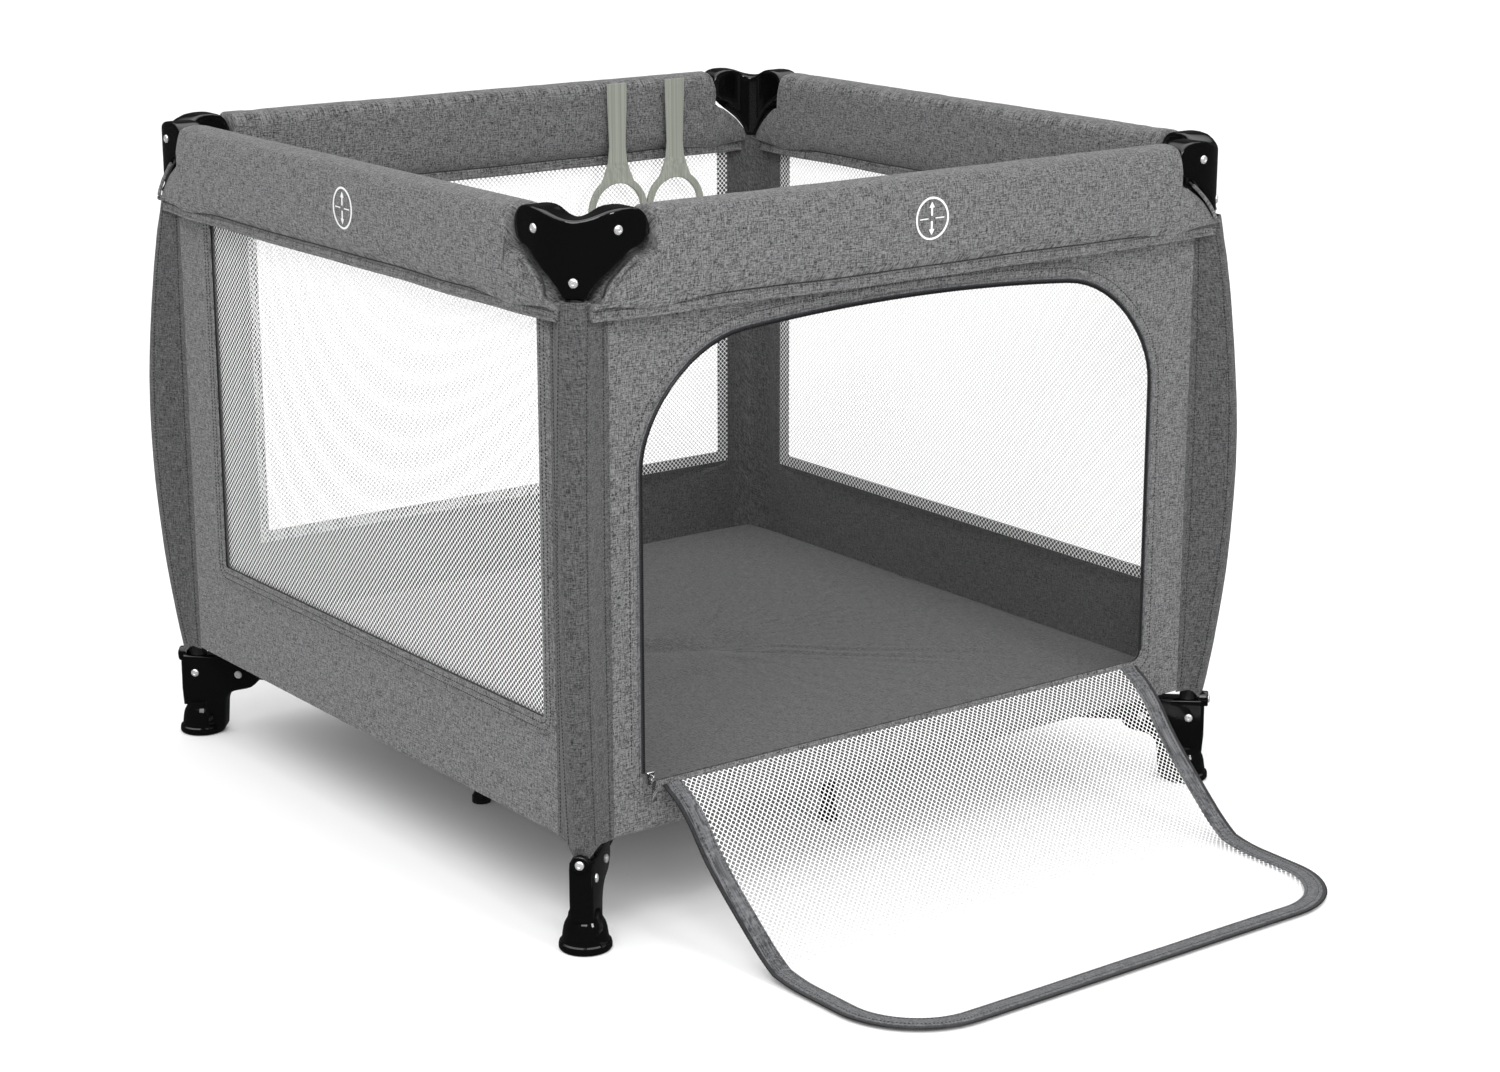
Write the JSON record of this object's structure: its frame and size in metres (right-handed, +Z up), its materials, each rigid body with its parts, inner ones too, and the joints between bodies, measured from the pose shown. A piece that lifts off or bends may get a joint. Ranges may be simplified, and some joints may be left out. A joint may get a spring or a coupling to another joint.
{
  "type": "folding playpen",
  "caption": "Square folding playpen: net and fabric sides on bowed posts, padded top rails with locks, a zipped arched doorway with a drop-down flap, and a floor mattress.",
  "frame": {"origin": "flat underside of the centre foot, on the floor in the middle of the pen", "axes": "+Z up; the doorway side faces -Y; +X is to the right when looking at the doorway"},
  "size_m": [0.932, 1.2772, 0.76],
  "materials": {
    "gloss_black_plastic": "gloss black moulded plastic",
    "satin_black_plastic": "satin black moulded plastic, fine grain",
    "black_painted_steel": "black powder-coated steel tube",
    "grey_melange_fabric": "mid grey heathered woven polyester with dark doubled stitching",
    "dark_grey_fabric": "dark grey heathered woven polyester",
    "white_net": "white warp-knit net",
    "black_tape": "black woven tape and coil zip",
    "grey_webbing": "soft grey-green webbing",
    "chrome": "bright nickel-plated rivets and zip slider"
  },
  "bodies": {
    "front_left_corner": {"front_left_head": "gloss_black_plastic", "front_left_foot": "satin_black_plastic", "front_left_boot": "gloss_black_plastic", "front_left_post": "black_painted_steel", "front_left_post_sleeve": "grey_melange_fabric", "front_wall": "grey_melange_fabric", "left_wall": "grey_melange_fabric"},
    "front_left_bar": {"front_left_base_bar": "black_painted_steel"},
    "hub": {"hub": "satin_black_plastic", "floor_sheet": "dark_grey_fabric"},
    "front_right_bar": {"front_right_base_bar": "black_painted_steel"},
    "front_right_corner": {"front_right_head": "gloss_black_plastic", "front_right_foot": "satin_black_plastic", "front_right_boot": "gloss_black_plastic", "front_right_post": "black_painted_steel", "front_right_post_sleeve": "grey_melange_fabric", "right_wall": "grey_melange_fabric"},
    "rear_left_bar": {"rear_left_base_bar": "black_painted_steel"},
    "rear_left_corner": {"rear_left_head": "gloss_black_plastic", "rear_left_foot": "satin_black_plastic", "rear_left_boot": "gloss_black_plastic", "rear_left_post": "black_painted_steel", "rear_left_post_sleeve": "grey_melange_fabric", "rear_wall": "grey_melange_fabric"},
    "rear_right_bar": {"rear_right_base_bar": "black_painted_steel"},
    "rear_right_corner": {"rear_right_head": "gloss_black_plastic", "rear_right_foot": "satin_black_plastic", "rear_right_boot": "gloss_black_plastic", "rear_right_post": "black_painted_steel", "rear_right_post_sleeve": "grey_melange_fabric"},
    "front_rail_left": {"front_rail_left": "black_painted_steel"},
    "front_lock": {"front_lock_housing": "satin_black_plastic", "front_rail_cover": "grey_melange_fabric"},
    "front_rail_right": {"front_rail_right": "black_painted_steel"},
    "front_lock_button": {"front_lock_button": "satin_black_plastic"},
    "rear_rail_left": {"rear_rail_left": "black_painted_steel"},
    "rear_lock": {"rear_lock_housing": "satin_black_plastic", "rear_rail_cover": "grey_melange_fabric"},
    "rear_rail_right": {"rear_rail_right": "black_painted_steel"},
    "rear_lock_button": {"rear_lock_button": "satin_black_plastic"},
    "left_rail_front": {"left_rail_front": "black_painted_steel"},
    "left_lock": {"left_lock_housing": "satin_black_plastic", "left_rail_cover": "grey_melange_fabric"},
    "left_rail_rear": {"left_rail_rear": "black_painted_steel"},
    "left_lock_button": {"left_lock_button": "satin_black_plastic"},
    "right_rail_front": {"right_rail_front": "black_painted_steel"},
    "right_lock": {"right_lock_housing": "satin_black_plastic", "right_rail_cover": "grey_melange_fabric"},
    "right_rail_rear": {"right_rail_rear": "black_painted_steel"},
    "right_lock_button": {"right_lock_button": "satin_black_plastic"},
    "front_support_arm": {"front_support_arm": "satin_black_plastic"},
    "right_support_arm": {"right_support_arm": "satin_black_plastic"},
    "rear_support_arm": {"rear_support_arm": "satin_black_plastic"},
    "left_support_arm": {"left_support_arm": "satin_black_plastic"},
    "mattress": {"mattress": "dark_grey_fabric"},
    "door_flap_upper": {"door_flap_upper": "white_net"},
    "door_flap_lower": {"door_flap_lower": "white_net"},
    "zip_slider": {"zip_slider": "chrome"},
    "left_pull_strap": {"left_pull_strap": "grey_webbing"},
    "right_pull_strap": {"right_pull_strap": "grey_webbing"}
  },
  "joints": [
    {"name": "fold", "type": "hinge", "parent": "front_left_corner", "child": "front_left_bar", "pos_m": [-0.39423, -0.39423, 0.077], "axis": [0.7071, -0.7071, 0], "range_deg": [0, 84], "deforming": ["front_wall", "right_wall", "rear_wall", "left_wall", "floor_sheet", "mattress", "door_flap_upper", "door_flap_lower", "front_rail_cover", "right_rail_cover", "rear_rail_cover", "left_rail_cover", "left_pull_strap", "right_pull_strap"]},
    {"name": "hub_turn", "type": "hinge", "parent": "front_left_bar", "child": "hub", "pos_m": [-0.04123, -0.04123, 0.077], "axis": [0.7071, -0.7071, 0], "range_deg": [-84, 0]},
    {"name": "front_right_bar_fold", "type": "hinge", "parent": "hub", "child": "front_right_bar", "pos_m": [0.04123, -0.04123, 0.077], "axis": [0.7071, 0.7071, 0], "range_deg": [0, 84]},
    {"name": "front_right_corner_turn", "type": "hinge", "parent": "front_right_bar", "child": "front_right_corner", "pos_m": [0.39423, -0.39423, 0.077], "axis": [0.7071, 0.7071, 0], "range_deg": [-84, 0]},
    {"name": "rear_left_bar_fold", "type": "hinge", "parent": "hub", "child": "rear_left_bar", "pos_m": [-0.04123, 0.04123, 0.077], "axis": [-0.7071, -0.7071, 0], "range_deg": [0, 84]},
    {"name": "rear_left_corner_turn", "type": "hinge", "parent": "rear_left_bar", "child": "rear_left_corner", "pos_m": [-0.39423, 0.39423, 0.077], "axis": [-0.7071, -0.7071, 0], "range_deg": [-84, 0]},
    {"name": "rear_right_bar_fold", "type": "hinge", "parent": "hub", "child": "rear_right_bar", "pos_m": [0.04123, 0.04123, 0.077], "axis": [-0.7071, 0.7071, 0], "range_deg": [0, 84]},
    {"name": "rear_right_corner_turn", "type": "hinge", "parent": "rear_right_bar", "child": "rear_right_corner", "pos_m": [0.39423, 0.39423, 0.077], "axis": [-0.7071, 0.7071, 0], "range_deg": [-84, 0]},
    {"name": "front_rail_left_fold", "type": "hinge", "parent": "front_left_corner", "child": "front_rail_left", "pos_m": [-0.389, -0.436, 0.738], "axis": [0, 1, 0], "range_deg": [0, 84]},
    {"name": "front_lock_turn", "type": "hinge", "parent": "front_rail_left", "child": "front_lock", "pos_m": [-0.036, -0.436, 0.738], "axis": [0, 1, 0], "range_deg": [-84, 0]},
    {"name": "front_rail_right_fold", "type": "hinge", "parent": "front_lock", "child": "front_rail_right", "pos_m": [0.036, -0.436, 0.738], "axis": [0, -1, 0], "range_deg": [0, 84]},
    {"name": "front_lock_press", "type": "slide", "parent": "front_lock", "child": "front_lock_button", "axis": [0, 1, 0], "range_m": [0, 0.005], "stiffness_N_per_m": 600, "springref_m": -0.002},
    {"name": "rear_rail_left_fold", "type": "hinge", "parent": "rear_left_corner", "child": "rear_rail_left", "pos_m": [-0.389, 0.436, 0.738], "axis": [0, 1, 0], "range_deg": [0, 84]},
    {"name": "rear_lock_turn", "type": "hinge", "parent": "rear_rail_left", "child": "rear_lock", "pos_m": [-0.036, 0.436, 0.738], "axis": [0, 1, 0], "range_deg": [-84, 0]},
    {"name": "rear_rail_right_fold", "type": "hinge", "parent": "rear_lock", "child": "rear_rail_right", "pos_m": [0.036, 0.436, 0.738], "axis": [0, -1, 0], "range_deg": [0, 84]},
    {"name": "rear_lock_press", "type": "slide", "parent": "rear_lock", "child": "rear_lock_button", "axis": [0, -1, 0], "range_m": [0, 0.005], "stiffness_N_per_m": 600, "springref_m": -0.002},
    {"name": "left_rail_front_fold", "type": "hinge", "parent": "front_left_corner", "child": "left_rail_front", "pos_m": [-0.436, -0.389, 0.738], "axis": [-1, 0, 0], "range_deg": [0, 84]},
    {"name": "left_lock_turn", "type": "hinge", "parent": "left_rail_front", "child": "left_lock", "pos_m": [-0.436, -0.036, 0.738], "axis": [-1, 0, 0], "range_deg": [-84, 0]},
    {"name": "left_rail_rear_fold", "type": "hinge", "parent": "left_lock", "child": "left_rail_rear", "pos_m": [-0.436, 0.036, 0.738], "axis": [1, 0, 0], "range_deg": [0, 84]},
    {"name": "left_lock_press", "type": "slide", "parent": "left_lock", "child": "left_lock_button", "axis": [1, 0, 0], "range_m": [0, 0.005], "stiffness_N_per_m": 600, "springref_m": -0.002},
    {"name": "right_rail_front_fold", "type": "hinge", "parent": "front_right_corner", "child": "right_rail_front", "pos_m": [0.436, -0.389, 0.738], "axis": [-1, 0, 0], "range_deg": [0, 84]},
    {"name": "right_lock_turn", "type": "hinge", "parent": "right_rail_front", "child": "right_lock", "pos_m": [0.436, -0.036, 0.738], "axis": [-1, 0, 0], "range_deg": [-84, 0]},
    {"name": "right_rail_rear_fold", "type": "hinge", "parent": "right_lock", "child": "right_rail_rear", "pos_m": [0.436, 0.036, 0.738], "axis": [1, 0, 0], "range_deg": [0, 84]},
    {"name": "right_lock_press", "type": "slide", "parent": "right_lock", "child": "right_lock_button", "axis": [-1, 0, 0], "range_m": [0, 0.005], "stiffness_N_per_m": 600, "springref_m": -0.002},
    {"name": "front_arm_fold", "type": "hinge", "parent": "hub", "child": "front_support_arm", "pos_m": [0, -0.06, 0.077], "axis": [1, 0, 0], "range_deg": [0, 82]},
    {"name": "right_arm_fold", "type": "hinge", "parent": "hub", "child": "right_support_arm", "pos_m": [0.06, 0, 0.077], "axis": [0, 1, 0], "range_deg": [0, 82]},
    {"name": "rear_arm_fold", "type": "hinge", "parent": "hub", "child": "rear_support_arm", "pos_m": [0, 0.06, 0.077], "axis": [-1, 0, 0], "range_deg": [0, 82]},
    {"name": "left_arm_fold", "type": "hinge", "parent": "hub", "child": "left_support_arm", "pos_m": [-0.06, 0, 0.077], "axis": [0, -1, 0], "range_deg": [0, 82]},
    {"name": "mattress_lift", "type": "slide", "parent": "hub", "child": "mattress", "axis": [0, 0, 1], "range_m": [0, 0.26]},
    {"name": "door_flap", "type": "hinge", "parent": "front_left_corner", "child": "door_flap_upper", "pos_m": [0, -0.44, 0.16], "axis": [-1, 0, 0], "range_deg": [0, 132]},
    {"name": "door_flap_crease", "type": "hinge", "parent": "door_flap_upper", "child": "door_flap_lower", "pos_m": [0, -0.61603, 0.0015], "axis": [-1, 0, 0], "range_deg": [-42, 0]},
    {"name": "zip_travel", "type": "slide", "parent": "front_left_corner", "child": "zip_slider", "axis": [0, 0, 1], "range_m": [0, 0.17]},
    {"name": "left_pull_strap_swing", "type": "hinge", "parent": "rear_lock", "child": "left_pull_strap", "pos_m": [0.19, 0.4037, 0.759], "axis": [-1, 0, 0], "range_deg": [0, 100]},
    {"name": "right_pull_strap_swing", "type": "hinge", "parent": "rear_lock", "child": "right_pull_strap", "pos_m": [0.281, 0.4037, 0.759], "axis": [-1, 0, 0], "range_deg": [0, 100]}
  ],
  "couplings": [
    {"joint": "hub_turn", "follows": "fold", "ratio": -1},
    {"joint": "front_right_bar_fold", "follows": "fold", "ratio": 1},
    {"joint": "front_right_corner_turn", "follows": "fold", "ratio": -1},
    {"joint": "rear_left_bar_fold", "follows": "fold", "ratio": 1},
    {"joint": "rear_left_corner_turn", "follows": "fold", "ratio": -1},
    {"joint": "rear_right_bar_fold", "follows": "fold", "ratio": 1},
    {"joint": "rear_right_corner_turn", "follows": "fold", "ratio": -1},
    {"joint": "front_rail_left_fold", "follows": "fold", "ratio": 1},
    {"joint": "front_lock_turn", "follows": "fold", "ratio": -1},
    {"joint": "front_rail_right_fold", "follows": "fold", "ratio": 1},
    {"joint": "rear_rail_left_fold", "follows": "fold", "ratio": 1},
    {"joint": "rear_lock_turn", "follows": "fold", "ratio": -1},
    {"joint": "rear_rail_right_fold", "follows": "fold", "ratio": 1},
    {"joint": "left_rail_front_fold", "follows": "fold", "ratio": 1},
    {"joint": "left_lock_turn", "follows": "fold", "ratio": -1},
    {"joint": "left_rail_rear_fold", "follows": "fold", "ratio": 1},
    {"joint": "right_rail_front_fold", "follows": "fold", "ratio": 1},
    {"joint": "right_lock_turn", "follows": "fold", "ratio": -1},
    {"joint": "right_rail_rear_fold", "follows": "fold", "ratio": 1},
    {"joint": "front_arm_fold", "follows": "fold", "ratio": 0.97619},
    {"joint": "right_arm_fold", "follows": "fold", "ratio": 0.97619},
    {"joint": "rear_arm_fold", "follows": "fold", "ratio": 0.97619},
    {"joint": "left_arm_fold", "follows": "fold", "ratio": 0.97619},
    {"joint": "mattress_lift", "follows": "fold", "m_per_rad": 0.17052},
    {"joint": "door_flap_crease", "follows": "door_flap", "ratio": -0.31818}
  ]
}
